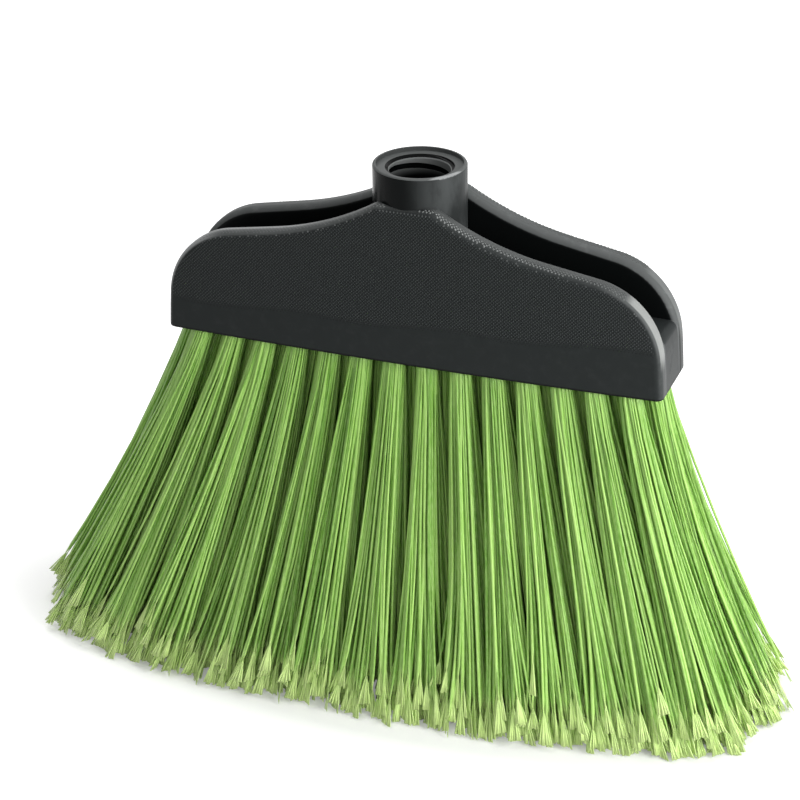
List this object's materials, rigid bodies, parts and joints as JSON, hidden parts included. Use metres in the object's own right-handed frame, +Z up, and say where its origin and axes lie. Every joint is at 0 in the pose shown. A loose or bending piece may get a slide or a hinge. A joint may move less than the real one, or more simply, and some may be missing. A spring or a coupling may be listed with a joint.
{
  "type": "broom head",
  "caption": "Upright broom head: black moulded block with two humped side plates, a threaded handle socket and rows of flared green bristle tufts with split tips.",
  "frame": {"origin": "on the floor under the bristle tips, below the handle socket's axis", "axes": "+X along the block, +Y from the front plate to the rear plate, +Z up along the handle socket"},
  "size_m": [0.284, 0.092, 0.1927],
  "materials": {
    "block_plastic": "satin black moulded plastic, finely knurled on the plates' upper faces",
    "bristle_plastic": "green drawn filament with a soft shine and pale split tips",
    "staple_wire": "plain flat steel wire"
  },
  "bodies": {
    "root": {"broom_block": "block_plastic", "tuft_front_01": "bristle_plastic", "tuft_front_02": "bristle_plastic", "tuft_front_03": "bristle_plastic", "tuft_front_04": "bristle_plastic", "tuft_front_05": "bristle_plastic", "tuft_front_06": "bristle_plastic", "tuft_front_07": "bristle_plastic", "tuft_front_08": "bristle_plastic", "tuft_front_09": "bristle_plastic", "tuft_front_10": "bristle_plastic", "tuft_front_11": "bristle_plastic", "tuft_front_12": "bristle_plastic", "tuft_front_13": "bristle_plastic", "tuft_front_14": "bristle_plastic", "tuft_middle_01": "bristle_plastic", "tuft_middle_02": "bristle_plastic", "tuft_middle_03": "bristle_plastic", "tuft_middle_04": "bristle_plastic", "tuft_middle_05": "bristle_plastic", "tuft_middle_06": "bristle_plastic", "tuft_middle_07": "bristle_plastic", "tuft_middle_08": "bristle_plastic", "tuft_middle_09": "bristle_plastic", "tuft_middle_10": "bristle_plastic", "tuft_middle_11": "bristle_plastic", "tuft_middle_12": "bristle_plastic", "tuft_middle_13": "bristle_plastic", "tuft_middle_14": "bristle_plastic", "tuft_middle_15": "bristle_plastic", "tuft_rear_01": "bristle_plastic", "tuft_rear_02": "bristle_plastic", "tuft_rear_03": "bristle_plastic", "tuft_rear_04": "bristle_plastic", "tuft_rear_05": "bristle_plastic", "tuft_rear_06": "bristle_plastic", "tuft_rear_07": "bristle_plastic", "tuft_rear_08": "bristle_plastic", "tuft_rear_09": "bristle_plastic", "tuft_rear_10": "bristle_plastic", "tuft_rear_11": "bristle_plastic", "tuft_rear_12": "bristle_plastic", "tuft_rear_13": "bristle_plastic", "tuft_rear_14": "bristle_plastic", "staples_front": "staple_wire", "staples_middle": "staple_wire", "staples_rear": "staple_wire"}
  },
  "joints": []
}
